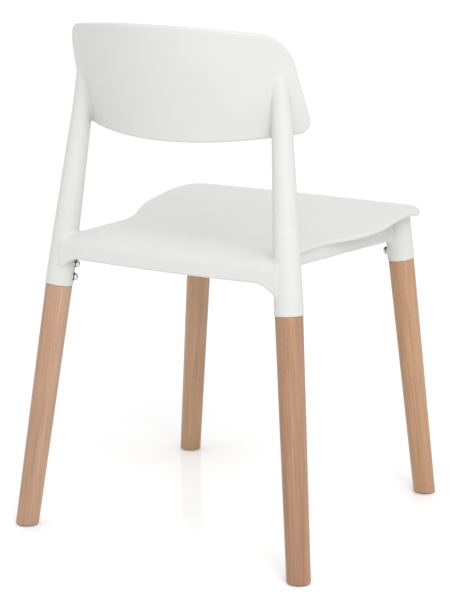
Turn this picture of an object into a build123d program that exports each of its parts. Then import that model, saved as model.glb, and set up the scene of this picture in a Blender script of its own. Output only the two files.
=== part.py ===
"""Dining chair: a one-piece moulded seat and back on four turned beech legs.

The chair faces -Y and +Z is up. The origin is on the floor, under the middle of the
chair's box. The sitter's left is +X. Sizes are in millimetres.
"""

from build123d import *
from math import cos, pi, radians, sin, sqrt
import os

os.makedirs("parts", exist_ok=True)

# Overall sizes
OVERALL_HEIGHT = 750.0
SEAT_FRONT_HEIGHT = 457.5
SEAT_REAR_HEIGHT = 439.5
SEAT_HALF_WIDTH = 206.0
SEAT_REAR_HALF_WIDTH = 167.0
SEAT_FRONT_Y = -231.0
SEAT_REAR_Y = 207.0
SHEET = 5.0

# Splayed leg axes: floor point and lean, as x and y per millimetre of height
REAR_FOOT = (227.6, 214.0)
REAR_LEAN = (-0.1084, -0.0836)
FRONT_FOOT = (215.0, -237.2)
FRONT_LEAN = (-0.0984, 0.0984)
REAR_SHOULDER_HEIGHT = 364.0
FRONT_SHOULDER_HEIGHT = 377.0

# Turned legs
FOOT_RADIUS = 16.9
LEG_TOP_RADIUS = 19.15
TENON_RADIUS = 16.0
TENON_LENGTH = 62.0
FOOT_EDGE = 1.5
GLIDE_PROUD = 1.5
GLIDE_SUNK = 3.0
GLIDE_RADIUS = 11.0
GLIDE_PIN_RADIUS = 2.2
GLIDE_PIN_LENGTH = 14.0

# Sockets and the posts that run up to the back
SOCKET_RADIUS = 20.4
SOCKET_TOP_RADIUS = 19.6
POST_TOP_RADIUS = 12.8
POST_TOP_HEIGHT = 690.0
FRONT_SOCKET_TOP_HEIGHT = 452.0
FIT = 0.15

# Seat dish and front lip
DISH_DEPTH = 12.0
DISH_FLAT = 1.0
RISE_START_Y = 14.0
RISE_END_Y = -192.0
SIDE_STEP_REAR_Y = 55.0
SIDE_STEP_FRONT_Y = -78.0
SIDE_STEP_FRONT_INSET = 3.0
SIDE_STEP_REAR_OUTSET = 1.0
SIDE_STEP_FRONT_SLOPE = 0.03
SIDE_STEP_REAR_SLOPE = 0.01
SEAT_CORNER_RADIUS = 30.0
FRONT_BOW = 7.0
LIP_BOTTOM_HEIGHT = 449.0
SEAT_STATIONS = (SEAT_REAR_Y, 140.0, 75.0, 10.0, -55.0, -120.0, -180.0, SEAT_FRONT_Y)
BLANK_HALF_WIDTH = SEAT_HALF_WIDTH + 6.0
BLANK_HEIGHT = 2 * (SEAT_FRONT_HEIGHT - SEAT_REAR_HEIGHT + DISH_DEPTH + SHEET)

# Walls under the seat
APRON_BOTTOM_HEIGHT = 407.0
APRON_BOW = 10.0
APRON_HALF_WIDTH = 172.0
WALL = 5.0
RAIL_REAR_X = 161.0
RAIL_FRONT_X = 170.0
RAIL_BOTTOM_REAR = 419.3
RAIL_BOTTOM_FRONT = 405.8
FRONT_RAIL_SHIFT = 12.0
GUSSET_WIDTH = 27.0
GUSSET_DEPTH = 15.0
GUSSET_EDGE = 1.0

# Back panel: a sheet bent to a cylinder and leaned back
BACK_THICKNESS = 6.5
BACK_RADIUS = 247.4
BACK_TILT = 17.63
BACK_HEIGHT = 166.9
BACK_BOTTOM_ARC = 208.1
BACK_TOP_ARC = 184.2
BACK_BOTTOM_Y = 199.7
BACK_TOP_CORNER = 34.0
BACK_BOTTOM_CORNER = 21.0
BACK_TOP_FALL = 35.0
BACK_BOTTOM_DROP = 1.9
BACK_BOTTOM_FALL = 4.2
BACK_EDGE_STEPS = 3
BACK_BAND_SPARE = 4 * (BACK_BOTTOM_DROP + BACK_BOTTOM_FALL)

# Fasteners: M6 button-head bolts, spring and flat washers, threaded inserts
BOLT_HEIGHTS = (14.5, 34.0)
BOLT_TURN = 18.0
BOLT_SEAT = 19.2
SPOT_FACE_RADIUS = 7.0
SPOT_FACE_DEPTH = 2.0
BOLT_RADIUS = 2.95
BOLT_LENGTH = 20.0
BOLT_HOLE_RADIUS = 3.3
HEAD_RADIUS = 5.25
HEAD_HEIGHT = 3.3
HEAD_DOME = 2.4
HEX_RADIUS = 2.3
HEX_DEPTH = 2.0
WASHER_THICKNESS = 1.6
WASHER_HOLE_RADIUS = 3.15
FLAT_WASHER_RADIUS = 6.0
SPRING_WASHER_RADIUS = 5.6
SPRING_GAP = 0.9
INSERT_RADIUS = 4.5
INSERT_LENGTH = 15.0
INSERT_BORE = 3.0
INSERT_SUNK = 1.0

REAR = "rear"
FRONT = "front"
SIDES = {"left": 1, "right": -1}
TOWARDS_MIDDLE = {REAR: -1, FRONT: 1}
ENDS = {
    REAR: (REAR_FOOT, REAR_LEAN, REAR_SHOULDER_HEIGHT),
    FRONT: (FRONT_FOOT, FRONT_LEAN, FRONT_SHOULDER_HEIGHT),
}


def axis_point(end, side, height):
    """The point of a leg's axis at this height above the floor."""
    foot, lean, _ = ENDS[end]
    return Vector(side * (foot[0] + lean[0] * height), foot[1] + lean[1] * height, height)


def leg_plane(end, side):
    """The plane of a leg's shoulder: z up the leg, x the way its bolts face."""
    _, lean, shoulder = ENDS[end]
    up = Vector(side * lean[0], lean[1], 1).normalized()
    turn = radians(BOLT_TURN)
    inward = Vector(-side * cos(turn), TOWARDS_MIDDLE[end] * sin(turn), 0)
    inward = (inward - up * inward.dot(up)).normalized()
    return Plane(origin=axis_point(end, side, shoulder), x_dir=inward, z_dir=up)


def bolt_plane(end, side, height, reach):
    """A plane across a bolt, this far from the leg's axis, facing its head."""
    plane = leg_plane(end, side)
    origin = plane.origin + plane.z_dir * height + plane.x_dir * reach
    return Plane(origin=origin, x_dir=plane.z_dir, z_dir=plane.x_dir)


def along_axis(end, height):
    """The length of a leg's axis between its shoulder and this height."""
    _, lean, shoulder = ENDS[end]
    return (height - shoulder) * sqrt(1 + lean[0] ** 2 + lean[1] ** 2)


def rim_height(y):
    """The seat's rim rises smoothly from the rear part to the front edge."""
    share = min(max((RISE_START_Y - y) / (RISE_START_Y - RISE_END_Y), 0), 1)
    return SEAT_REAR_HEIGHT + (SEAT_FRONT_HEIGHT - SEAT_REAR_HEIGHT) * share**2 * (3 - 2 * share)


def dish(y):
    """How far the middle of the seat lies below its rim at this y."""
    share = (SEAT_REAR_Y - y) / (SEAT_REAR_Y - SEAT_FRONT_Y)
    return DISH_FLAT + DISH_DEPTH * sin(pi * share) ** 2


# Tilt of the back and its centre of curvature
BACK_UP = Vector(0, sin(radians(BACK_TILT)), cos(radians(BACK_TILT)))
BACK_OUT = Vector(0, cos(radians(BACK_TILT)), -sin(radians(BACK_TILT)))
BACK_TOP_EDGE = BACK_THICKNESS / 2 * sin(radians(BACK_TILT))
BACK_BOTTOM_HEIGHT = OVERALL_HEIGHT - BACK_TOP_EDGE - BACK_HEIGHT * cos(radians(BACK_TILT))
BACK_ORIGIN = Vector(0, BACK_BOTTOM_Y, BACK_BOTTOM_HEIGHT)
BACK_SECTION = Plane(origin=BACK_ORIGIN, x_dir=(1, 0, 0), z_dir=BACK_UP)
BACK_FACE = Plane(origin=BACK_ORIGIN, x_dir=(1, 0, 0), z_dir=-BACK_OUT)


def across(arc):
    """The sideways distance of a point at this arc length round the back."""
    return BACK_RADIUS * sin(arc / BACK_RADIUS)


def seat_section(y):
    """Draws the seat sheet's cross-section at this y."""
    rim = rim_height(y)
    middle = rim - dish(y)
    with BuildSketch(Plane.XZ.offset(-y)) as section:
        with BuildLine():
            top = ThreePointArc((-BLANK_HALF_WIDTH, rim), (0, middle), (BLANK_HALF_WIDTH, rim))
            bottom = ThreePointArc(
                (-BLANK_HALF_WIDTH, rim - SHEET), (0, middle - SHEET), (BLANK_HALF_WIDTH, rim - SHEET)
            )
            Line(top @ 0, bottom @ 0)
            Line(top @ 1, bottom @ 1)
        make_face()
    return section


def half_outline(side):
    """Draws one side of the seat's plan outline, from the front to the apron."""
    front_corner_y = SEAT_FRONT_Y + FRONT_BOW
    shoulder = (side * (SEAT_HALF_WIDTH - SIDE_STEP_FRONT_INSET), SIDE_STEP_FRONT_Y)
    waist = (side * (SEAT_REAR_HALF_WIDTH + SIDE_STEP_REAR_OUTSET), SIDE_STEP_REAR_Y)
    side_start = (side * SEAT_HALF_WIDTH, front_corner_y + SEAT_CORNER_RADIUS)
    corner = (side * (SEAT_HALF_WIDTH - SEAT_CORNER_RADIUS), front_corner_y)
    RadiusArc(corner, side_start, -side * SEAT_CORNER_RADIUS)
    Line(side_start, shoulder)
    front_tangent = (-side * SIDE_STEP_FRONT_SLOPE, 1)
    rear_tangent = (-side * SIDE_STEP_REAR_SLOPE, 1)
    Spline(shoulder, waist, tangents=(front_tangent, rear_tangent))
    Line(waist, (side * SEAT_REAR_HALF_WIDTH, SEAT_REAR_Y - APRON_BOW))
    return corner


# Seat sheet: dished across, rising to the front, cut to the plan outline
with BuildPart() as seat_sheet:
    for station in SEAT_STATIONS:
        add(seat_section(station).sketch)
    loft()
    with BuildSketch(Plane.XY.offset(SEAT_FRONT_HEIGHT - BLANK_HEIGHT)):
        with BuildLine():
            left_corner = half_outline(1)
            right_corner = half_outline(-1)
            ThreePointArc(right_corner, (0, SEAT_FRONT_Y), left_corner)
            ThreePointArc(
                (-SEAT_REAR_HALF_WIDTH, SEAT_REAR_Y - APRON_BOW),
                (0, SEAT_REAR_Y),
                (SEAT_REAR_HALF_WIDTH, SEAT_REAR_Y - APRON_BOW),
            )
        make_face()
    extrude(amount=2 * BLANK_HEIGHT, mode=Mode.INTERSECT)


def back_edge(rise, fall, arcs):
    """Points of a curved edge of the back, at these arc lengths from its middle."""
    return [(across(arc), rise - fall * (arc / BACK_TOP_ARC) ** 2) for arc in arcs]


# Back panel: a bent sheet cut to its outline
with BuildPart() as back_panel:
    with BuildSketch(BACK_SECTION.offset(-BACK_BAND_SPARE)):
        with Locations((0, -BACK_RADIUS)):
            Circle(BACK_RADIUS + BACK_THICKNESS / 2)
            Circle(BACK_RADIUS - BACK_THICKNESS / 2, mode=Mode.SUBTRACT)
        with Locations((0, BACK_THICKNESS)):
            Rectangle(
                2 * (BACK_RADIUS + BACK_THICKNESS),
                BACK_RADIUS,
                align=(Align.CENTER, Align.MAX),
                mode=Mode.INTERSECT,
            )
    extrude(amount=BACK_HEIGHT + 2 * BACK_BAND_SPARE)
    with BuildSketch(BACK_FACE) as back_outline:
        with BuildLine():
            steps = range(-BACK_EDGE_STEPS, BACK_EDGE_STEPS + 1)
            top_arcs = [BACK_TOP_ARC * step / BACK_EDGE_STEPS for step in steps]
            low_arcs = [BACK_BOTTOM_ARC * step / BACK_EDGE_STEPS for step in steps]
            top_edge = Spline(back_edge(BACK_HEIGHT, BACK_TOP_FALL, top_arcs))
            low_edge = Spline(back_edge(-BACK_BOTTOM_DROP, BACK_BOTTOM_FALL, low_arcs))
            Line(top_edge @ 0, low_edge @ 0)
            Line(top_edge @ 1, low_edge @ 1)
        make_face()
        fillet(back_outline.vertices().sort_by(Axis.Y)[-2:], BACK_TOP_CORNER)
        fillet(back_outline.vertices().sort_by(Axis.Y)[:2], BACK_BOTTOM_CORNER)
    extrude(amount=BACK_RADIUS, both=True, mode=Mode.INTERSECT)


# Moulded shell: seat, walls, sockets, posts and back in one piece
with BuildPart() as moulded_shell:
    add(seat_sheet.part)

    # Front lip: a wall that follows the front edge and both front corners
    with BuildSketch(Plane.XY.offset(LIP_BOTTOM_HEIGHT)):
        with BuildLine():
            lip_left = (SEAT_HALF_WIDTH, SEAT_FRONT_Y + FRONT_BOW + SEAT_CORNER_RADIUS)
            lip_right = (-lip_left[0], lip_left[1])
            lip_left_corner = (SEAT_HALF_WIDTH - SEAT_CORNER_RADIUS, SEAT_FRONT_Y + FRONT_BOW)
            lip_right_corner = (-lip_left_corner[0], lip_left_corner[1])
            RadiusArc(lip_left_corner, lip_left, -SEAT_CORNER_RADIUS)
            ThreePointArc(lip_right_corner, (0, SEAT_FRONT_Y), lip_left_corner)
            RadiusArc(lip_right_corner, lip_right, SEAT_CORNER_RADIUS)
            inner_left = (lip_left[0] - WALL, lip_left[1])
            inner_right = (-inner_left[0], inner_left[1])
            inner_left_corner = (lip_left_corner[0], lip_left_corner[1] + WALL)
            inner_right_corner = (-inner_left_corner[0], inner_left_corner[1])
            RadiusArc(inner_left_corner, inner_left, WALL - SEAT_CORNER_RADIUS)
            ThreePointArc(inner_right_corner, (0, SEAT_FRONT_Y + WALL), inner_left_corner)
            RadiusArc(inner_right_corner, inner_right, SEAT_CORNER_RADIUS - WALL)
            Line(lip_left, inner_left)
            Line(lip_right, inner_right)
        make_face()
    extrude(amount=SEAT_FRONT_HEIGHT - SHEET / 2 - LIP_BOTTOM_HEIGHT)

    # Rear apron, bowed to the rear
    with BuildSketch(Plane.XY.offset(APRON_BOTTOM_HEIGHT)):
        with BuildLine():
            apron_end = SEAT_REAR_Y - APRON_BOW
            outer = ThreePointArc(
                (-APRON_HALF_WIDTH, apron_end), (0, SEAT_REAR_Y), (APRON_HALF_WIDTH, apron_end)
            )
            inner = ThreePointArc(
                (-APRON_HALF_WIDTH, apron_end - WALL),
                (0, SEAT_REAR_Y - WALL),
                (APRON_HALF_WIDTH, apron_end - WALL),
            )
            Line(outer @ 0, inner @ 0)
            Line(outer @ 1, inner @ 1)
        make_face()
    extrude(amount=SEAT_REAR_HEIGHT - SHEET / 2 - APRON_BOTTOM_HEIGHT)

    for side in SIDES.values():
        rear_axis = axis_point(REAR, side, APRON_BOTTOM_HEIGHT)
        front_axis = axis_point(FRONT, side, RAIL_BOTTOM_FRONT)

        # Gusset under the apron, beside the rear socket
        gusset_x = abs(rear_axis.X) - SOCKET_RADIUS / 2
        with BuildSketch(Plane.XZ.offset(-(SEAT_REAR_Y - APRON_BOW))):
            with BuildLine():
                Polyline(
                    (side * gusset_x, APRON_BOTTOM_HEIGHT - GUSSET_DEPTH),
                    (side * (gusset_x - GUSSET_WIDTH), APRON_BOTTOM_HEIGHT + GUSSET_EDGE),
                    (side * (gusset_x - GUSSET_WIDTH), APRON_BOTTOM_HEIGHT + WALL),
                    (side * gusset_x, APRON_BOTTOM_HEIGHT + WALL),
                    close=True,
                )
            make_face()
        extrude(amount=WALL)

        # Side rail from the rear post to the front socket, inside the rim
        rail_start = Vector(side * RAIL_REAR_X, rear_axis.Y, 0)
        rail_end = Vector(side * RAIL_FRONT_X, front_axis.Y, 0)
        run = (rail_end - rail_start).normalized()
        length = (rail_end - rail_start).length
        rise_start = (rear_axis.Y - RISE_START_Y) / (rear_axis.Y - front_axis.Y) * length
        with BuildSketch(Plane(origin=rail_start, x_dir=run, z_dir=run.cross(Vector(0, 0, 1)))):
            with BuildLine():
                Polyline(
                    (0, RAIL_BOTTOM_REAR),
                    (0, SEAT_REAR_HEIGHT - SHEET / 2),
                    (rise_start, SEAT_REAR_HEIGHT - SHEET),
                    (length, SEAT_FRONT_HEIGHT - SHEET - DISH_FLAT),
                    (length, RAIL_BOTTOM_FRONT),
                    close=True,
                )
            make_face()
        extrude(amount=side * WALL)

    # Front rail between the front sockets
    front_wall_y = axis_point(FRONT, 1, RAIL_BOTTOM_FRONT).Y - FRONT_RAIL_SHIFT
    with BuildSketch(Plane.XY.offset(RAIL_BOTTOM_FRONT)):
        with Locations((0, front_wall_y)):
            Rectangle(2 * abs(axis_point(FRONT, 1, RAIL_BOTTOM_FRONT).X), WALL)
    extrude(amount=SEAT_FRONT_HEIGHT - SHEET - DISH_FLAT - RAIL_BOTTOM_FRONT)

    # Sockets and posts: tapered round columns on the legs' axes
    for side in SIDES.values():
        for end in ENDS:
            plane = leg_plane(end, side)
            top = POST_TOP_HEIGHT if end == REAR else FRONT_SOCKET_TOP_HEIGHT
            top_radius = POST_TOP_RADIUS if end == REAR else SOCKET_TOP_RADIUS
            with BuildSketch(plane):
                Circle(SOCKET_RADIUS)
            with BuildSketch(plane.offset(along_axis(end, top))):
                Circle(top_radius)
            loft()

    # The posts sink into the back panel, so the sitter's face of it stays clear
    with BuildSketch(BACK_SECTION.offset(-BACK_BOTTOM_DROP - BACK_BOTTOM_FALL)):
        with Locations((0, -BACK_RADIUS)):
            Circle(BACK_RADIUS - BACK_THICKNESS / 4)
    extrude(amount=BACK_HEIGHT, mode=Mode.SUBTRACT)
    add(back_panel.part)

    # Bores for the tenons, and spot faces and holes for the bolts
    for side in SIDES.values():
        for end in ENDS:
            with BuildSketch(leg_plane(end, side)):
                Circle(TENON_RADIUS + FIT)
            extrude(amount=TENON_LENGTH + FIT, mode=Mode.SUBTRACT)
            for height in BOLT_HEIGHTS:
                spot_face = bolt_plane(end, side, height, BOLT_SEAT)
                with BuildSketch(spot_face):
                    Circle(SPOT_FACE_RADIUS)
                extrude(amount=SPOT_FACE_DEPTH, mode=Mode.SUBTRACT)
                with BuildSketch(spot_face):
                    Circle(BOLT_HOLE_RADIUS)
                extrude(amount=-SOCKET_RADIUS / 2, mode=Mode.SUBTRACT)
moulded_shell.part.label = "moulded_shell"
export_step(moulded_shell.part, "parts/moulded_shell.step")


# Legs: tapered beech turnings with a tenon, two insert holes and a glide recess
for side_name, side in SIDES.items():
    for end in ENDS:
        name = f"leg_{end}_{side_name}"
        plane = leg_plane(end, side)
        length = -along_axis(end, 0)
        overrun = 2 * FOOT_RADIUS * (FOOT_RADIUS / length)
        taper = (LEG_TOP_RADIUS - FOOT_RADIUS) / length
        with BuildPart() as leg:
            with BuildSketch(plane.offset(-length - overrun)):
                Circle(FOOT_RADIUS - taper * overrun)
            with BuildSketch(plane):
                Circle(LEG_TOP_RADIUS)
            loft()
            split(bisect_by=Plane.XY.offset(GLIDE_PROUD), keep=Keep.TOP)
            fillet(leg.edges().sort_by(Axis.Z)[0], FOOT_EDGE)
            with BuildSketch(plane):
                Circle(TENON_RADIUS)
            extrude(amount=TENON_LENGTH)
            chamfer(leg.faces().sort_by(Axis.Z)[-1].edges(), FOOT_EDGE)
            for height in BOLT_HEIGHTS:
                with BuildSketch(bolt_plane(end, side, height, TENON_RADIUS)):
                    Circle(INSERT_RADIUS)
                extrude(amount=-INSERT_LENGTH - FOOT_EDGE, mode=Mode.SUBTRACT)
            foot = axis_point(end, side, 0)
            with BuildSketch(Plane.XY):
                with Locations((foot.X, foot.Y)):
                    Circle(GLIDE_RADIUS)
            extrude(amount=GLIDE_PROUD + GLIDE_SUNK, mode=Mode.SUBTRACT)
            with BuildSketch(Plane.XY):
                with Locations((foot.X, foot.Y)):
                    Circle(GLIDE_PIN_RADIUS)
            extrude(amount=GLIDE_PROUD + GLIDE_SUNK + GLIDE_PIN_LENGTH, mode=Mode.SUBTRACT)
        leg.part.label = name
        export_step(leg.part, f"parts/{name}.step")

# Foot glides: a nylon disc with a pin pressed up into the leg
for side_name, side in SIDES.items():
    for end in ENDS:
        name = f"foot_glide_{end}_{side_name}"
        foot = axis_point(end, side, 0)
        with BuildPart() as glide:
            with BuildSketch(Plane.XY):
                with Locations((foot.X, foot.Y)):
                    Circle(GLIDE_RADIUS)
            extrude(amount=GLIDE_PROUD + GLIDE_SUNK)
            chamfer(glide.edges().sort_by(Axis.Z)[0], GLIDE_PROUD / 2)
            with BuildSketch(Plane.XY.offset(GLIDE_PROUD + GLIDE_SUNK)):
                with Locations((foot.X, foot.Y)):
                    Circle(GLIDE_PIN_RADIUS)
            extrude(amount=GLIDE_PIN_LENGTH)
        glide.part.label = name
        export_step(glide.part, f"parts/{name}.step")


def ring(plane, outer, inner):
    """Extrudes a flat ring of washer thickness, standing on this plane."""
    with BuildSketch(plane) as washer:
        Circle(outer)
        Circle(inner, mode=Mode.SUBTRACT)
    extrude(washer.sketch, amount=WASHER_THICKNESS)


# Fasteners: each leg has two bolts one above the other, kept as a group
for side_name, side in SIDES.items():
    for end in ENDS:
        place = f"{end}_{side_name}"
        with BuildPart() as flat_washers:
            for height in BOLT_HEIGHTS:
                ring(bolt_plane(end, side, height, BOLT_SEAT), FLAT_WASHER_RADIUS, WASHER_HOLE_RADIUS)
        with BuildPart() as spring_washers:
            for height in BOLT_HEIGHTS:
                reach = BOLT_SEAT + WASHER_THICKNESS
                plane = bolt_plane(end, side, height, reach)
                ring(plane, SPRING_WASHER_RADIUS, WASHER_HOLE_RADIUS)
                with BuildSketch(plane):
                    with Locations((0, SPRING_WASHER_RADIUS)):
                        Rectangle(SPRING_GAP, 2 * WASHER_HOLE_RADIUS)
                extrude(amount=WASHER_THICKNESS, mode=Mode.SUBTRACT)
        with BuildPart() as bolts:
            for height in BOLT_HEIGHTS:
                under_head = bolt_plane(end, side, height, BOLT_SEAT + 2 * WASHER_THICKNESS)
                with BuildSketch(under_head):
                    Circle(HEAD_RADIUS)
                extrude(amount=HEAD_HEIGHT)
                inward = Axis(under_head.origin, under_head.z_dir)
                crown = bolts.faces(Select.LAST).sort_by(inward)[-1]
                fillet(crown.edges(), HEAD_DOME)
                with BuildSketch(under_head.offset(HEAD_HEIGHT)):
                    RegularPolygon(HEX_RADIUS, 6)
                extrude(amount=-HEX_DEPTH, mode=Mode.SUBTRACT)
                with BuildSketch(under_head):
                    Circle(BOLT_RADIUS)
                extrude(amount=-BOLT_LENGTH)
        with BuildPart() as inserts:
            for height in BOLT_HEIGHTS:
                with BuildSketch(bolt_plane(end, side, height, TENON_RADIUS - INSERT_SUNK)):
                    Circle(INSERT_RADIUS)
                    Circle(INSERT_BORE, mode=Mode.SUBTRACT)
                extrude(amount=-INSERT_LENGTH)
        flat_washers.part.label = f"flat_washers_{place}"
        spring_washers.part.label = f"spring_washers_{place}"
        bolts.part.label = f"bolts_{place}"
        inserts.part.label = f"threaded_inserts_{place}"
        for group in (flat_washers, spring_washers, bolts, inserts):
            export_step(group.part, f"parts/{group.part.label}.step")
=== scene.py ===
"""The dining chair's looks: a blended moulded shell, turned beech legs and plated fasteners.

The moulded shell is one smooth surface. It is drawn as a distance field: each wall, post
and sheet is a distance, they are joined by soft minimums, and the zero level is meshed with
quads. Shapes are worked out in millimetres and kept in metres, in the frame's own axes.
The chair is symmetric, so sizes and places are given for its left half.
"""

import math

import bmesh
import bpy
import numpy as np
from mathutils import Matrix, Vector


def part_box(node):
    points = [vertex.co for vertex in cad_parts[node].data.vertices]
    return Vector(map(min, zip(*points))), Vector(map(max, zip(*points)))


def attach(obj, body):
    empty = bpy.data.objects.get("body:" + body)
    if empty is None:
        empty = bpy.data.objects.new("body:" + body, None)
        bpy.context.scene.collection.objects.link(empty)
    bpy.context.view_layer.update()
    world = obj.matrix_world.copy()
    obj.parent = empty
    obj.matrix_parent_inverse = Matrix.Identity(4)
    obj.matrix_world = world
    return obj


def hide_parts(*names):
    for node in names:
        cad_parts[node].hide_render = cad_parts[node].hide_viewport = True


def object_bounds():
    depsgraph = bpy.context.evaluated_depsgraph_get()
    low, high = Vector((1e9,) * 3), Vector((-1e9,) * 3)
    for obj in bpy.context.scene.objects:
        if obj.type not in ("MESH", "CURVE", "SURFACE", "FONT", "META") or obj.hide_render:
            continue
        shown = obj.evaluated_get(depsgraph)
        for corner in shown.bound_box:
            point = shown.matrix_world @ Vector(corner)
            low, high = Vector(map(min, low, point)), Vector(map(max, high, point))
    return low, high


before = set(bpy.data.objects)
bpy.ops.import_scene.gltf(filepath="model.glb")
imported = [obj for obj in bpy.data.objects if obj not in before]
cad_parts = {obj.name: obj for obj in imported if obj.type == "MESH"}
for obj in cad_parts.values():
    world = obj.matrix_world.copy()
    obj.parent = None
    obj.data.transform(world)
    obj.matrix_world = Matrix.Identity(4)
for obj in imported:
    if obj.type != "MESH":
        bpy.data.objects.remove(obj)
cad_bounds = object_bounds()

MM = 0.001
SIDES = {"left": 1, "right": -1}
REAR = "rear"
FRONT = "front"

# ------------------------------------------------------------------ sizes, in millimetres
# The seat: a dished sheet that narrows to a waist and rises towards its front
SHEET = 6.0
SEAT_FRONT_TOP = 457.6
SEAT_REAR_TOP = 440.0
SEAT_FRONT_Y = -231.0
FRONT_BOW = 6.5
SEAT_CORNER = 30.0
WAIST_HALF_WIDTH = 167.3
SHOULDER_HALF_WIDTH = 204.3
FRONT_HALF_WIDTH = 206.0
WAIST_Y = 50.0
SHOULDER_Y = -92.0
FULL_WIDTH_Y = -191.0
RISE_START_Y = 14.0
RISE_END_Y = -192.0
DISH_DEPTH = 12.0
# The radius that its edge rolls over at the sides, and what is added to it towards the front
SIDE_ROLL = 0.5
LIP_ROLL = 5.0
LIP_FADE_Y = (-150.0, -205.0)

# The apron: the seat's sheet turned down behind, deeper near the posts
APRON_Y = 207.0
APRON_BOW = 10.0
APRON_HALF_WIDTH = 172.0
APRON_ROLL = 13.0
APRON_BOTTOM = 407.0
APRON_LEAN = -0.08
APRON_INTO_POST = 9.0
SEAT_INTO_POST_Y = (168.0, 188.0)
GUSSET_DEPTH = 15.5
GUSSET_START_X = 143.0
GUSSET_END_X = 174.0
GUSSET_CURVE = 1.7

# The walls under the seat. A side rail's ends are (outer face x, y, bottom height)
WALL = 5.0
WALL_EDGE = 1.5
RAIL_REAR = (161.0, 178.0, 419.3)
RAIL_FRONT = (170.0, -197.0, 405.8)
FRONT_RAIL_Y = -209.0

# The legs' axes: how far x and y move for each unit of height, and where the sockets start
LEAN = {REAR: (-0.1084, -0.0836), FRONT: (-0.0984, 0.0984)}
SHOULDER_Z = {REAR: 364.0, FRONT: 377.0}

# Sockets and posts: round columns, whose radius falls with the way along the axis and its square
SOCKET_RADIUS = 20.4
SOCKET_EDGE = 0.8
COLUMN_TAPER = {REAR: 0.0211, FRONT: 0.01}
COLUMN_SLIMMING = {REAR: 1.07e-5, FRONT: 0.0}
COLUMN_TOP_Z = {REAR: 689.0, FRONT: 451.0}
COLUMN_END_ROUND = {REAR: 9.0, FRONT: 0.8}
POST_BEND = 6.5
POST_BEND_Z = (600.0, 690.0)
# The tenons are slimmer and shorter than the exact ones, so that the wall round them can be
# meshed. They are hidden inside the sockets
TENON_RADIUS = 14.6
TENON_LENGTH = 42.0
TENON_CHAMFER = 1.5
BORE_GAP = 0.2

# The legs. The edge round the shoulder starts a little below it: (inwards, height) of its steps
LEG_TOP_RADIUS = 19.3
LEG_TOP_EDGE = 1.2
LEG_TOP_ROUND = ((0.25, -0.6), (0.8, -0.15), (1.6, 0.0))
FOOT_RADIUS = 16.9
FOOT_ROUND = 1.6
FOOT_Z = 1.5
LEG_SEGMENTS = 96
FOOT_ROUND_RINGS = 5
LEG_RINGS = 40
# The share of the leg over which its rings turn from level to square with its axis
LEVEL_SHARE = 0.125

# The back: part of a tilted tube's wall
BACK_THICKNESS = 6.5
BACK_RADIUS = 247.4
BACK_TILT = math.radians(17.63)
BACK_HEIGHT = 166.9
BACK_BOTTOM_Y = 199.7
BACK_BOTTOM_ARC = 208.1
BACK_TOP_ARC = 184.2
BACK_TOP_CORNER = 34.0
BACK_BOTTOM_CORNER = 21.0
BACK_EDGE_ROUND = 0.95 * BACK_THICKNESS / 2
# The edges' heights over the width: middle, then falls that grow with its square and fourth power
BACK_LOW_EDGE = (-1.9, -3.0, -2.0)
BACK_HIGH_EDGE = (BACK_HEIGHT, -35.3, 1.9)
CHAIR_TOP = cad_bounds[1][2] / MM

# The bolts: heights over the shoulder, and the turn of the way they face towards the middle
BOLT_HEIGHTS = (14.5, 34.0)
BOLT_TURN = math.radians(18.0)
TOWARDS_MIDDLE = {REAR: -1, FRONT: 1}
SPOT_FACE_RADIUS = 7.0
SPOT_FACE_REACH = 19.2
SPOT_FACE_DEPTH = 3.0

# How far the fillets reach where parts of the shell meet. The seat's grows near a front socket
WALL_FILLET = 4.0
SOCKET_FILLET = 7.0
SEAT_FILLET = 0.8
SEAT_FILLET_GROWTH = 13.0
SOCKET_NEARNESS = 9.0
POST_FILLET = 6.0
# Above this height a post runs only behind the back, and its fillet grows over this lift
BACK_START_Z = 540.0
GROOVE_FILLET = 0.5
GROOVE_FILLET_GROWTH = 2.0
GROOVE_LIFT = (-1.0, 3.0)

# The mesh: its cell size and margin, and how its vertices are evened out and put on the surface
GRID_STEP = 2.0
MARGIN_CELLS = 3
SETTLE_ROUNDS = 3
SETTLE_PULL = 0.5
PROJECTIONS = 2
LEAST_SLOPE_SQUARED = 0.25
SLOPE_REACH = 0.05
# Stands for a distance that is never the least
FAR = 1000.0


# ------------------------------------------------------------------ field building blocks
def smooth_step(low, high, value):
    """0 below low, 1 above high, and an S-curve between; low may be above high."""
    share = np.clip((value - low) / (high - low), 0.0, 1.0)
    return share * share * (3.0 - 2.0 * share)


def soft_min(a, b, reach):
    """The union of two distances, with a fillet of about this reach between them."""
    near = np.clip(reach - np.abs(a - b), 0.0, None) / reach
    return np.minimum(a, b) - near * near * reach * 0.25


def round_max(a, b, radius):
    """The overlap of two distances, with its edge rounded to this radius."""
    over_a = np.clip(a + radius, 0.0, None)
    over_b = np.clip(b + radius, 0.0, None)
    inner = np.minimum(np.maximum(a, b) + radius, 0.0)
    return np.hypot(over_a, over_b) + inner - radius


def bent_sheet(inside, over, roll, drop):
    """Distance to a line that runs level, rolls over an edge and then drops.

    inside is the distance in from the edge, and over is the height over the level line.
    """
    to_centre = roll - inside
    over_centre = over + roll
    level = np.where(to_centre <= 0, np.abs(over), FAR)
    arc = np.abs(np.hypot(to_centre, over_centre) - roll)
    arc = np.where((to_centre > 0) & (over_centre > 0), arc, FAR)
    under = np.clip(-drop - over_centre, 0.0, None)
    hanging = np.where(over_centre <= 0, np.hypot(inside, under), FAR)
    return np.minimum(np.minimum(level, arc), hanging)


# ------------------------------------------------------------------ the legs' axes
def axis_foot(end):
    """The floor point of a left leg's axis, in millimetres, from the frame's glide."""
    low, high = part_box(f"foot_glide_{end}_left")
    return ((low.x + high.x) / 2 / MM, (low.y + high.y) / 2 / MM)


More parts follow.
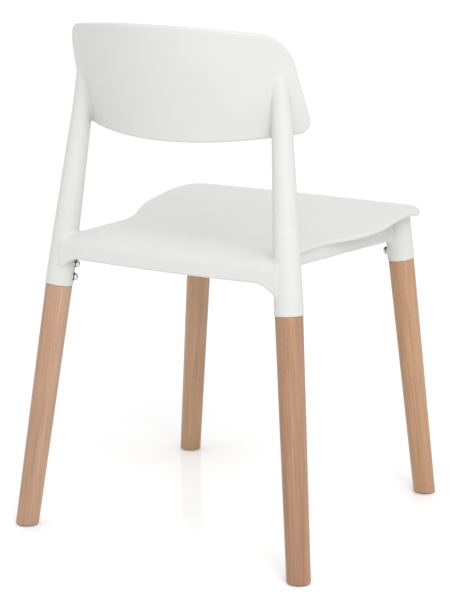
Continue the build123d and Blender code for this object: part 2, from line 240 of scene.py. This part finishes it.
FOOT = {REAR: axis_foot(REAR), FRONT: axis_foot(FRONT)}


def shoulder_point(end):
    """Where a left leg's axis passes its shoulder."""
    foot_x, foot_y = FOOT[end]
    lean_x, lean_y = LEAN[end]
    shoulder = SHOULDER_Z[end]
    return foot_x + lean_x * shoulder, foot_y + lean_y * shoulder, shoulder


def slant(end):
    """The length along a leg's axis for each unit of height."""
    lean_x, lean_y = LEAN[end]
    return math.sqrt(1.0 + lean_x**2 + lean_y**2)


def bolt_facing(end):
    """The way up a left leg, and the way its bolts face."""
    up = Vector((*LEAN[end], 1.0)).normalized()
    facing = Vector((-math.cos(BOLT_TURN), TOWARDS_MIDDLE[end] * math.sin(BOLT_TURN), 0.0))
    return up, (facing - up * facing.dot(up)).normalized()


# ------------------------------------------------------------------ the shell's parts
def column(x, y, z, end):
    """Distance to a tapered round socket or post on a left leg's axis, and to its bore."""
    lean_x, lean_y = LEAN[end]
    shoulder_x, shoulder_y, shoulder_z = shoulder_point(end)
    length = slant(end)
    if end == REAR:
        bend = (z - POST_BEND_Z[0]) / (POST_BEND_Z[1] - POST_BEND_Z[0])
        y = y - POST_BEND * np.clip(bend, 0.0, None) ** 2
    axis_x = x - shoulder_x
    axis_y = y - shoulder_y
    axis_z = z - shoulder_z
    along = (axis_x * lean_x + axis_y * lean_y + axis_z) / length
    off_x = axis_x - along * lean_x / length
    off_y = axis_y - along * lean_y / length
    off_z = axis_z - along / length
    radial = np.sqrt(off_x**2 + off_y**2 + off_z**2)
    radius = SOCKET_RADIUS - COLUMN_TAPER[end] * along - COLUMN_SLIMMING[end] * along**2
    top = along - (COLUMN_TOP_Z[end] - shoulder_z) * length
    body = round_max(radial - radius, -along, SOCKET_EDGE)
    body = round_max(body, top, COLUMN_END_ROUND[end])
    bore = np.maximum(radial - TENON_RADIUS - BORE_GAP, along - TENON_LENGTH - BORE_GAP)
    return body, bore


def rim_top(y):
    """Height of the seat's rim."""
    return SEAT_REAR_TOP + (SEAT_FRONT_TOP - SEAT_REAR_TOP) * smooth_step(RISE_START_Y, RISE_END_Y, y)


def half_width(y):
    """Half the seat's width at this y."""
    step = smooth_step(WAIST_Y, SHOULDER_Y, y)
    front = smooth_step(SHOULDER_Y, FULL_WIDTH_Y, y)
    width = WAIST_HALF_WIDTH + (SHOULDER_HALF_WIDTH - WAIST_HALF_WIDTH) * step
    return width + (FRONT_HALF_WIDTH - SHOULDER_HALF_WIDTH) * front


def seat_top(x, y):
    """Height of the seat's upper face."""
    share = np.clip((APRON_Y - y) / (APRON_Y - SEAT_FRONT_Y), 0.0, 1.0)
    dish = DISH_DEPTH * np.sin(np.pi * share) ** 2
    across = np.clip(1.0 - (x / half_width(y)) ** 2, 0.0, None)
    return rim_top(y) - dish * across


def seat_field(x, y, z):
    """Distance to the seat sheet, its front lip and the rear apron with its gussets."""
    half = SHEET / 2
    slope = (half_width(y + 1.0) - half_width(y - 1.0)) / 2.0
    in_side = (half_width(y) - x) / np.sqrt(1.0 + slope**2)
    in_front = y - (SEAT_FRONT_Y + FRONT_BOW * (x / FRONT_HALF_WIDTH) ** 2)
    inside = -round_max(-in_side, -in_front, SEAT_CORNER) - half
    over = z - (seat_top(x, y) - half)
    fade = smooth_step(*LIP_FADE_Y, y)
    front = bent_sheet(inside, over, SIDE_ROLL + LIP_ROLL * fade, drop=0.0) - half

    face = APRON_Y - APRON_BOW * (x / APRON_HALF_WIDTH) ** 2
    face = face + APRON_LEAN * (z - SEAT_REAR_TOP)
    depth = SEAT_REAR_TOP - SHEET / 2 - APRON_ROLL - (APRON_BOTTOM + half)
    to_post = np.clip((x - GUSSET_START_X) / (GUSSET_END_X - GUSSET_START_X), 0, 1)
    gusset = GUSSET_DEPTH * to_post**GUSSET_CURVE
    rear = bent_sheet(face - half - y, over, APRON_ROLL, depth + gusset) - half
    into_post = APRON_INTO_POST * smooth_step(*SEAT_INTO_POST_Y, y)
    rear = round_max(rear, -in_side - into_post, half)
    return np.where(y > 0.0, rear, front)


def plank(x, y, z, start, end, top):
    """Distance to an upright wall between two points (x, y, bottom height)."""
    run = np.array([end[0] - start[0], end[1] - start[1]])
    length = float(np.hypot(*run))
    run = run / length
    along = (x - start[0]) * run[0] + (y - start[1]) * run[1]
    across = np.abs((x - start[0]) * run[1] - (y - start[1]) * run[0]) - WALL / 2
    bottom = start[2] + (end[2] - start[2]) * np.clip(along / length, 0, 1)
    upright = np.maximum(bottom - z, z - top)
    ends = np.maximum(-along, along - length)
    return round_max(np.maximum(across, ends), upright, WALL_EDGE)


def edge_line(share, terms):
    """Height and slope of a long edge of the back, this share of the way to its end."""
    middle, square, fourth = terms
    height = middle + square * share**2 + fourth * share**4
    return height, (2 * square * share + 4 * fourth * share**3) / BACK_TOP_ARC


def back_field(x, y, z):
    """Distance to the bent back panel, and how far behind its mid-surface a point lies."""
    half = BACK_THICKNESS / 2
    bottom_z = CHAIR_TOP - half * math.sin(BACK_TILT) - BACK_HEIGHT * math.cos(BACK_TILT)
    rel_y = y - BACK_BOTTOM_Y
    rel_z = z - bottom_z
    up = rel_y * math.sin(BACK_TILT) + rel_z * math.cos(BACK_TILT)
    out = rel_y * math.cos(BACK_TILT) - rel_z * math.sin(BACK_TILT) + BACK_RADIUS
    around = BACK_RADIUS * np.arctan2(x, out)
    lift = np.hypot(x, out) - BACK_RADIUS
    # The two long edges fall away towards the sides, the short ones lean in
    low, low_slope = edge_line(around / BACK_TOP_ARC, BACK_LOW_EDGE)
    high, high_slope = edge_line(around / BACK_TOP_ARC, BACK_HIGH_EDGE)
    past_low = (low - up) / np.sqrt(1 + low_slope**2)
    past_high = (up - high) / np.sqrt(1 + high_slope**2)
    lean = (BACK_BOTTOM_ARC - BACK_TOP_ARC) / BACK_HEIGHT
    past_side = (np.abs(around) - (BACK_BOTTOM_ARC - lean * up)) / math.sqrt(1 + lean**2)
    upper = round_max(past_side, past_high, BACK_TOP_CORNER)
    lower = round_max(past_side, past_low, BACK_BOTTOM_CORNER)
    outline = np.maximum(upper, lower)
    return round_max(np.abs(lift) - half, outline, BACK_EDGE_ROUND), lift


def spot_faces(x, y, z, end):
    """Distance to the two shallow round cuts that the washers sit in."""
    up, facing = bolt_facing(end)
    cuts = []
    for height in BOLT_HEIGHTS:
        centre = Vector(shoulder_point(end)) + up * height
        rel = (x - centre.x, y - centre.y, z - centre.z)
        reach = rel[0] * facing.x + rel[1] * facing.y + rel[2] * facing.z
        off = [rel[i] - reach * facing[i] for i in range(3)]
        radial = np.sqrt(off[0] ** 2 + off[1] ** 2 + off[2] ** 2)
        cut = np.maximum(radial - SPOT_FACE_RADIUS, SPOT_FACE_REACH - reach)
        cuts.append(np.maximum(cut, reach - SPOT_FACE_REACH - SPOT_FACE_DEPTH))
    return np.minimum.reduce(cuts)


def shell_field(x, y, z):
    """Distance to the whole moulded shell. The two halves are mirror images."""
    x = np.abs(x)
    seat = seat_field(x, y, z)
    seat_middle = seat_top(x, y) - SHEET / 2
    rear_x, rear_y, rear_bottom = RAIL_REAR
    front_x, front_y, front_bottom = RAIL_FRONT
    rail = plank(
        x, y, z, (rear_x - WALL / 2, rear_y, rear_bottom),
        (front_x - WALL / 2, front_y, front_bottom), seat_middle,
    )
    front_rail = plank(
        x, y, z, (0.0, FRONT_RAIL_Y, front_bottom),
        (front_x, FRONT_RAIL_Y, front_bottom), seat_middle,
    )
    walls = soft_min(rail, front_rail, WALL_FILLET)
    post, post_bore = column(x, y, z, REAR)
    socket, socket_bore = column(x, y, z, FRONT)
    near_socket = smooth_step(SOCKET_NEARNESS, 0.0, socket)
    socket = soft_min(socket, walls, SOCKET_FILLET)
    body = soft_min(seat, socket, SEAT_FILLET + SEAT_FILLET_GROWTH * near_socket)

    back, lift = back_field(x, y, z)
    behind = np.maximum(post, -lift)
    post = np.where(z > BACK_START_Z, behind, post)
    groove = GROOVE_FILLET + GROOVE_FILLET_GROWTH * smooth_step(*GROOVE_LIFT, lift)
    upper = soft_min(post, back, groove)
    body = soft_min(body, upper, POST_FILLET)
    cuts = [post_bore, socket_bore, spot_faces(x, y, z, REAR), spot_faces(x, y, z, FRONT)]
    return np.maximum(body, -np.minimum.reduce(cuts))


# ------------------------------------------------------------------ meshing the field
def grid_axis(low, high, step):
    """Evenly spaced grid coordinates that cover low to high."""
    return low + step * np.arange(int(math.ceil((high - low) / step)) + 1)


def sample_field(xs, ys, zs):
    """The field on the grid, slab by slab. Only the left half is worked out."""
    half = np.empty((len(xs), len(ys), len(zs)), np.float32)
    plane_y, plane_z = np.meshgrid(ys, zs, indexing="ij")
    for index, x in enumerate(xs):
        half[index] = shell_field(np.full_like(plane_y, x), plane_y, plane_z)
    return np.concatenate([half[::-1], half])


CELL_CORNERS = [(i, j, k) for i in (0, 1) for j in (0, 1) for k in (0, 1)]


def crossed_cells(inside):
    """The grid cells that have corners both inside and outside."""
    shape = tuple(n - 1 for n in inside.shape)
    count = np.zeros(shape, np.int8)
    for i, j, k in CELL_CORNERS:
        count += inside[i:i + shape[0], j:j + shape[1], k:k + shape[2]]
    return np.argwhere((count > 0) & (count < len(CELL_CORNERS)))


def middle_of_crossings(values, cells):
    """For each cell, the mean of the points where the zero level crosses its edges."""
    total = np.zeros((len(cells), 3))
    hits = np.zeros(len(cells))
    for near in CELL_CORNERS:
        for axis in range(3):
            if near[axis]:
                continue
            far = tuple(1 if n == axis else v for n, v in enumerate(near))
            at_near = values[tuple((cells + near).T)]
            at_far = values[tuple((cells + far).T)]
            crosses = (at_near < 0) != (at_far < 0)
            share = np.where(crosses, at_near / np.where(crosses, at_near - at_far, 1.0), 0.0)
            point = np.array(near, float) + np.outer(share, np.array(far) - np.array(near))
            total += point * crosses[:, None]
            hits += crosses
    return total / hits[:, None]


def surface_net(values, origin, step):
    """Quads along the zero level: one vertex in each grid cell that it crosses."""
    inside = values < 0
    cells = crossed_cells(inside)
    number = np.full(tuple(n - 1 for n in values.shape), -1, np.int32)
    number[tuple(cells.T)] = np.arange(len(cells))
    points = origin + step * (cells + middle_of_crossings(values, cells))
    quads = []
    for axis in range(3):
        ahead = [slice(None)] * 3
        ahead[axis] = slice(1, None)
        here = [slice(None)] * 3
        here[axis] = slice(None, -1)
        here_in = inside[tuple(here)]
        changes = np.argwhere(here_in != inside[tuple(ahead)])
        first, second = [np.eye(3, dtype=int)[n] for n in range(3) if n != axis]
        ring = [changes - first - second, changes - second, changes, changes - first]
        ids = np.stack([number[tuple(cell.T)] for cell in ring], 1)
        flip = here_in[tuple(changes.T)] == (axis == 1)
        ids[flip] = ids[flip][:, ::-1]
        quads.append(ids)
    return points, np.concatenate(quads)


def value_and_slope(points):
    """The field's value and slope at these points."""
    value = shell_field(*points.T)
    slope = np.empty_like(points)
    for axis in range(3):
        ahead = points.copy()
        behind = points.copy()
        ahead[:, axis] += SLOPE_REACH
        behind[:, axis] -= SLOPE_REACH
        rise = shell_field(*ahead.T) - shell_field(*behind.T)
        slope[:, axis] = rise / (2 * SLOPE_REACH)
    return value, slope


def settle(points, quads):
    """Evens out the vertices along the surface, and puts each one on it."""
    for _ in range(SETTLE_ROUNDS):
        total = np.zeros_like(points)
        hits = np.zeros(len(points))
        for corner in range(4):
            for other in (quads[:, (corner + 1) % 4], quads[:, (corner + 3) % 4]):
                np.add.at(total, quads[:, corner], points[other])
                np.add.at(hits, quads[:, corner], 1)
        middle = total / np.maximum(hits, 1)[:, None]
        points = points + SETTLE_PULL * (middle - points)
        for _ in range(PROJECTIONS):
            value, slope = value_and_slope(points)
            size = np.maximum((slope**2).sum(1), LEAST_SLOPE_SQUARED)
            move = slope * (value / size)[:, None]
            points = points - np.clip(move, -GRID_STEP, GRID_STEP)
    return points


def add_object(name, data):
    """An object in the scene that holds this mesh, light or camera."""
    added = bpy.data.objects.new(name, data)
    bpy.context.scene.collection.objects.link(added)
    return added


def mesh_object(name, points, faces):
    """A smooth-shaded mesh object from points in metres."""
    mesh = bpy.data.meshes.new(name)
    mesh.from_pydata([tuple(p) for p in points], [], [tuple(f) for f in faces])
    mesh.update()
    for polygon in mesh.polygons:
        polygon.use_smooth = True
    return add_object(name, mesh)


def build_shell():
    """The moulded shell as one closed mesh."""
    low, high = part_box("moulded_shell")
    margin = MARGIN_CELLS * GRID_STEP
    xs = grid_axis(GRID_STEP / 2, high.x / MM + margin, GRID_STEP)
    ys = grid_axis(low.y / MM - margin, high.y / MM + margin, GRID_STEP)
    zs = grid_axis(low.z / MM - margin, high.z / MM + margin, GRID_STEP)
    values = sample_field(xs, ys, zs)
    origin = np.array([-xs[-1], ys[0], zs[0]])
    points, quads = surface_net(values, origin, GRID_STEP)
    points = settle(points, quads)
    return mesh_object("shell_moulding", points * MM, quads)


# ------------------------------------------------------------------ turned legs
def leg_matrix(end, side):
    """A leg's own frame: its shoulder's middle, x towards the chair's middle, z up the leg."""
    lean_x, lean_y = LEAN[end]
    shoulder_x, shoulder_y, shoulder_z = shoulder_point(end)
    up = Vector((side * lean_x, lean_y, 1.0)).normalized()
    inward = Vector((-side, 0.0, 0.0))
    inward = (inward - up * inward.dot(up)).normalized()
    place = Vector((side * shoulder_x, shoulder_y, shoulder_z)) * MM
    turn = Matrix((inward, up.cross(inward), up)).transposed().to_4x4()
    return Matrix.Translation(place) @ turn


def leg_rings(length):
    """The leg's outline as (radius, height over the shoulder, how level the ring lies)."""
    rings = []
    for step in range(FOOT_ROUND_RINGS + 1):
        turn = math.pi / 2 * step / FOOT_ROUND_RINGS
        radius = FOOT_RADIUS - FOOT_ROUND * (1 - math.sin(turn))
        rings.append((radius, -length + FOOT_ROUND * (1 - math.cos(turn)), 1.0))
    for step in range(1, LEG_RINGS + 1):
        share = step / LEG_RINGS
        height = -length + FOOT_ROUND + (length - FOOT_ROUND - LEG_TOP_EDGE) * share
        radius = FOOT_RADIUS + (LEG_TOP_RADIUS - FOOT_RADIUS) * share
        rings.append((radius, height, max(0.0, 1.0 - share / LEVEL_SHARE)))
    for inwards, height in LEG_TOP_ROUND:
        rings.append((LEG_TOP_RADIUS - inwards, height, 0.0))
    rings.append((TENON_RADIUS, 0.0, 0.0))
    rings.append((TENON_RADIUS, TENON_LENGTH - TENON_CHAMFER, 0.0))
    rings.append((TENON_RADIUS - TENON_CHAMFER, TENON_LENGTH, 0.0))
    return rings


def build_leg(end, side_name):
    """One turned leg with its tenon, its foot cut level with the floor."""
    matrix = leg_matrix(end, SIDES[side_name])
    length = (SHOULDER_Z[end] - FOOT_Z) * slant(end)
    upright = matrix.to_3x3().transposed() @ Vector((0, 0, 1))
    leg = bmesh.new()
    loops = []
    for radius, height, level in leg_rings(length):
        loop = []
        for step in range(LEG_SEGMENTS):
            turn = 2 * math.pi * step / LEG_SEGMENTS
            x = radius * math.cos(turn)
            y = radius * math.sin(turn)
            slide = -(x * upright.x + y * upright.y) / upright.z
            loop.append(leg.verts.new(Vector((x, y, height + level * slide)) * MM))
        loops.append(loop)
    for lower, upper in zip(loops, loops[1:]):
        for step in range(LEG_SEGMENTS):
            after = (step + 1) % LEG_SEGMENTS
            leg.faces.new((lower[step], lower[after], upper[after], upper[step]))
    leg.faces.new(loops[0][::-1])
    leg.faces.new(loops[-1])
    name = f"turned_leg_{end}_{side_name}"
    mesh = bpy.data.meshes.new(name)
    leg.to_mesh(mesh)
    leg.free()
    for polygon in mesh.polygons:
        polygon.use_smooth = len(polygon.vertices) == 4
    mesh.transform(matrix)
    return add_object(name, mesh)


# ------------------------------------------------------------------ materials
WHITE = (1.0, 1.0, 1.0)
# The colour sockets of a mix node, whose names aren't unique
MIX_COLOUR_A = 6
MIX_COLOUR_B = 7
MIX_COLOUR = 2


def new_material(name):
    """A material with its node tree and its shader."""
    material = bpy.data.materials.new(name)
    material.use_nodes = True
    tree = material.node_tree
    shader = tree.nodes["Principled BSDF"]
    return material, tree, shader


def add_node(tree, kind, settings=None, inputs=None):
    """A node with its settings, and its inputs set or linked."""
    node = tree.nodes.new(kind)
    for key, value in (settings or {}).items():
        setattr(node, key, value)
    for key, value in (inputs or {}).items():
        if isinstance(value, bpy.types.NodeSocket):
            tree.links.new(value, node.inputs[key])
        else:
            node.inputs[key].default_value = value
    return node


def colour_ramp(tree, value, stops):
    """A colour ramp over value, with (position, colour) stops."""
    node = add_node(tree, "ShaderNodeValToRGB", inputs={"Fac": value})
    elements = node.color_ramp.elements
    while len(elements) < len(stops):
        elements.new(0.5)
    for element, (position, colour) in zip(elements, stops):
        element.position = position
        element.color = (*colour, 1.0)
    return node.outputs["Color"]


def noise(tree, where, scale, detail=2.0, roughness=0.5):
    """The strength of a noise over these places."""
    settings = {"Vector": where, "Scale": scale, "Detail": detail, "Roughness": roughness}
    return add_node(tree, "ShaderNodeTexNoise", inputs=settings).outputs["Fac"]


def patchy_colour(tree, where, scale, low, high, detail=3.0):
    """A colour that wanders softly between two tones."""
    return colour_ramp(tree, noise(tree, where, scale, detail), [(0.3, low), (0.7, high)])


def multiplied(tree, colour_a, colour_b):
    """The product of two colours."""
    node = add_node(tree, "ShaderNodeMix", {"data_type": "RGBA", "blend_type": "MULTIPLY"})
    node.inputs["Factor"].default_value = 1.0
    tree.links.new(colour_a, node.inputs[MIX_COLOUR_A])
    tree.links.new(colour_b, node.inputs[MIX_COLOUR_B])
    return node.outputs[MIX_COLOUR]


def fine_surface(tree, shader, grain, roughness, strength, distance):
    """A bump that follows a grain, with this roughness where the grain is low and high."""
    at_low, at_high = roughness
    rough = add_node(
        tree, "ShaderNodeMapRange", inputs={"Value": grain, "To Min": at_low, "To Max": at_high}
    )
    tree.links.new(rough.outputs["Result"], shader.inputs["Roughness"])
    bump = add_node(
        tree, "ShaderNodeBump", inputs={"Height": grain, "Strength": strength, "Distance": distance}
    )
    tree.links.new(bump.outputs["Normal"], shader.inputs["Normal"])


def moulded_plastic(name, base, spread, roughness, grain):
    """Satin moulded plastic: a fine spark-eroded grain and very slight tone changes."""
    material, tree, shader = new_material(name)
    where = add_node(tree, "ShaderNodeTexCoord").outputs["Object"]
    low = tuple(c - spread for c in base)
    high = tuple(c + spread for c in base)
    colour = patchy_colour(tree, where, 9.0, low, high)
    tree.links.new(colour, shader.inputs["Base Color"])
    fine = noise(tree, where, scale=1400.0)
    limits = (roughness - 0.05, roughness + 0.05)
    fine_surface(tree, shader, fine, limits, strength=grain, distance=0.0002)
    shader.inputs["IOR"].default_value = 1.49
    return material


# Where the dark, middle and light growth bands lie in the noise, and their tones
BEECH_BANDS = (
    (0.28, (0.335, 0.192, 0.110)),
    (0.50, (0.400, 0.237, 0.143)),
    (0.72, (0.465, 0.285, 0.180)),
)
# Each leg's bands are tinted, partly with its own board's tone and partly with painted light and
# shade: the rear right leg, which takes the most key light, is painted darker and the others lighter
BOARD_AND_LIGHT_TINT = {
    "rear_left": (1.07, 1.09, 1.17),
    "rear_right": (0.91, 0.855, 0.835),
    "front_left": (1.06, 1.06, 1.02),
    "front_right": (1.07, 1.03, 0.94),
}
# How far apart the boards' places in the noise are
BOARD_STEP = (0.31, 0.17, 0.23)


def beech(place, seed, leg_frame):
    """Lacquered beech: soft growth bands, long grain and small dark flecks along the leg."""
    material, tree, shader = new_material(f"beech_{place}")
    into_leg = add_node(
        tree, "ShaderNodeMapping", {"vector_type": "TEXTURE"},
        {"Vector": add_node(tree, "ShaderNodeTexCoord").outputs["Object"],
         "Location": leg_frame.to_translation(), "Rotation": leg_frame.to_euler()},
    )
    where = into_leg.outputs["Vector"]
    shift = tuple(seed * step for step in BOARD_STEP)

    def stretched(across, along):
        """Places in the wood, so that a noise over them runs long along the leg."""
        inputs = {"Vector": where, "Location": shift, "Scale": (across, across, along)}
        return add_node(tree, "ShaderNodeMapping", inputs=inputs).outputs["Vector"]

    bands = noise(tree, stretched(70.0, 2.5), scale=1.0, detail=3.0, roughness=0.55)
    grain = noise(tree, stretched(900.0, 14.0), scale=1.0, detail=4.0, roughness=0.6)
    flecks = noise(tree, stretched(1500.0, 160.0), scale=1.0, detail=1.0)
    # The tint holds the board's tone and painted light and shade
    tint = BOARD_AND_LIGHT_TINT[place]
    stops = [(at, tuple(c * t for c, t in zip(colour, tint))) for at, colour in BEECH_BANDS]
    tone = colour_ramp(tree, bands, stops)
    lines = colour_ramp(
        tree, grain, [(0.3, (0.78, 0.74, 0.70)), (0.55, WHITE), (0.8, (1.06, 1.06, 1.05))]
    )
    spots = colour_ramp(tree, flecks, [(0.62, WHITE), (0.72, (0.80, 0.74, 0.70))])
    colour = multiplied(tree, multiplied(tree, tone, lines), spots)
    tree.links.new(colour, shader.inputs["Base Color"])
    fine_surface(tree, shader, grain, (0.5, 0.36), strength=0.12, distance=0.0003)
    return material


def plated_metal(name, base, roughness):
    """Plated or machined metal with a faint grain, dulled in patches."""
    material, tree, shader = new_material(name)
    where = add_node(tree, "ShaderNodeTexCoord").outputs["Object"]
    dulled = tuple(c * 0.86 for c in base)
    colour = patchy_colour(tree, where, 300.0, dulled, base)
    tree.links.new(colour, shader.inputs["Base Color"])
    fine = noise(tree, where, scale=2500.0)
    limits = (roughness - 0.06, roughness + 0.08)
    fine_surface(tree, shader, fine, limits, strength=0.08, distance=0.0001)
    shader.inputs["Metallic"].default_value = 1.0
    return material


def give(piece, material):
    """Puts one material on every slot of a piece."""
    if not piece.material_slots:
        piece.data.materials.append(material)
    for slot in piece.material_slots:
        slot.material = material


# ------------------------------------------------------------------ stage, light, camera
FLOOR_REACH = 40.0


def build_stage():
    """A plain pale floor."""
    signs = [(-1, -1), (1, -1), (1, 1), (-1, 1)]
    corners = [(FLOOR_REACH * x, FLOOR_REACH * y, 0.0) for x, y in signs]
    floor = mesh_object("floor", corners, [(0, 1, 2, 3)])
    material, tree, shader = new_material("pale_floor")
    where = add_node(tree, "ShaderNodeTexCoord").outputs["Object"]
    colour = patchy_colour(tree, where, 3.0, (0.94, 0.94, 0.94), (0.95, 0.95, 0.95), detail=2.0)
    tree.links.new(colour, shader.inputs["Base Color"])
    shader.inputs["Roughness"].default_value = 0.12
    shader.inputs["IOR"].default_value = 1.2
    give(floor, material)


def add_light(name, place, target, size, power, colour):
    """A square soft light at place, facing target."""
    data = bpy.data.lights.new(name, "AREA")
    data.shape = "SQUARE"
    data.size = size
    data.energy = power
    data.color = colour
    light = add_object(name, data)
    light.location = place
    aim = Vector(target) - Vector(place)
    light.rotation_euler = aim.to_track_quat("-Z", "Y").to_euler()


def build_light():
    """A bright even room with one soft key from behind the chair's right."""
    world = bpy.data.worlds.new("soft_room")
    world.use_nodes = True
    background = world.node_tree.nodes["Background"]
    background.inputs["Color"].default_value = (*WHITE, 1.0)
    background.inputs["Strength"].default_value = 1.04
    bpy.context.scene.world = world
    add_light(
        "key", place=(-2.25, 2.45, 2.75), target=(0, 0, 0.45),
        size=2.4, power=76.0, colour=(0.97, 0.98, 1.0),
    )
    bpy.context.scene.view_settings.view_transform = "Standard"


# The view: where it is taken from, about its target, in metres, and the lens in millimetres
VIEW_AZIMUTH = math.radians(209.655)
VIEW_RISE = math.radians(12.745)
VIEW_ROLL = math.radians(0.76)
VIEW_DISTANCE = 2.7769
VIEW_TARGET = (0.02175, -0.01412, 0.32253)
LENS_MM = 111.15


def build_camera():
    """The camera at the view's angle."""
    data = bpy.data.cameras.new("view")
    data.lens = LENS_MM
    data.sensor_width = 36.0
    data.clip_end = 50.0
    camera = add_object("view", data)
    back = Vector((
        math.sin(VIEW_AZIMUTH) * math.cos(VIEW_RISE),
        -math.cos(VIEW_AZIMUTH) * math.cos(VIEW_RISE),
        math.sin(VIEW_RISE),
    ))
    place = Vector(VIEW_TARGET) + back * VIEW_DISTANCE
    turn = back.to_track_quat("Z", "Y").to_matrix().to_4x4()
    roll = Matrix.Rotation(VIEW_ROLL, 4, "Z")
    camera.matrix_world = Matrix.Translation(place) @ turn @ roll
    bpy.context.scene.camera = camera


# ------------------------------------------------------------------ putting it together
build_camera()
build_light()
build_stage()

shell = build_shell()
white_plastic = moulded_plastic(
    "satin_white_plastic", base=(0.59, 0.59, 0.572), spread=0.008, roughness=0.42, grain=0.35
)
give(shell, white_plastic)
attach(shell, "root")
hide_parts("moulded_shell")

places = [(end, side_name) for end in (REAR, FRONT) for side_name in SIDES]
for number, (end, side_name) in enumerate(places, start=1):
    leg = build_leg(end, side_name)
    grain_frame = leg_matrix(end, SIDES[side_name])
    give(leg, beech(f"{end}_{side_name}", number, grain_frame))
    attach(leg, "root")
    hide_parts(f"leg_{end}_{side_name}")

plate = plated_metal("bright_zinc_plate", base=(0.72, 0.72, 0.73), roughness=0.16)
# The spring washers are drawn in a dark metal, which gives the dark line beside each socket
dark_washer_metal = plated_metal("dark_spring_washer_metal", base=(0.10, 0.10, 0.105), roughness=0.3)
brass = plated_metal("machined_brass", base=(0.72, 0.56, 0.30), roughness=0.3)
nylon = moulded_plastic(
    "glide_nylon", base=(0.62, 0.61, 0.58), spread=0.02, roughness=0.5, grain=0.2
)
FINISHES = {
    "bolts": plate,
    "flat_washers": plate,
    "spring_washers": dark_washer_metal,
    "threaded_inserts": brass,
    "foot_glide": nylon,
}
for node_name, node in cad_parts.items():
    for kind, finish in FINISHES.items():
        if node_name.startswith(kind):
            give(node, finish)
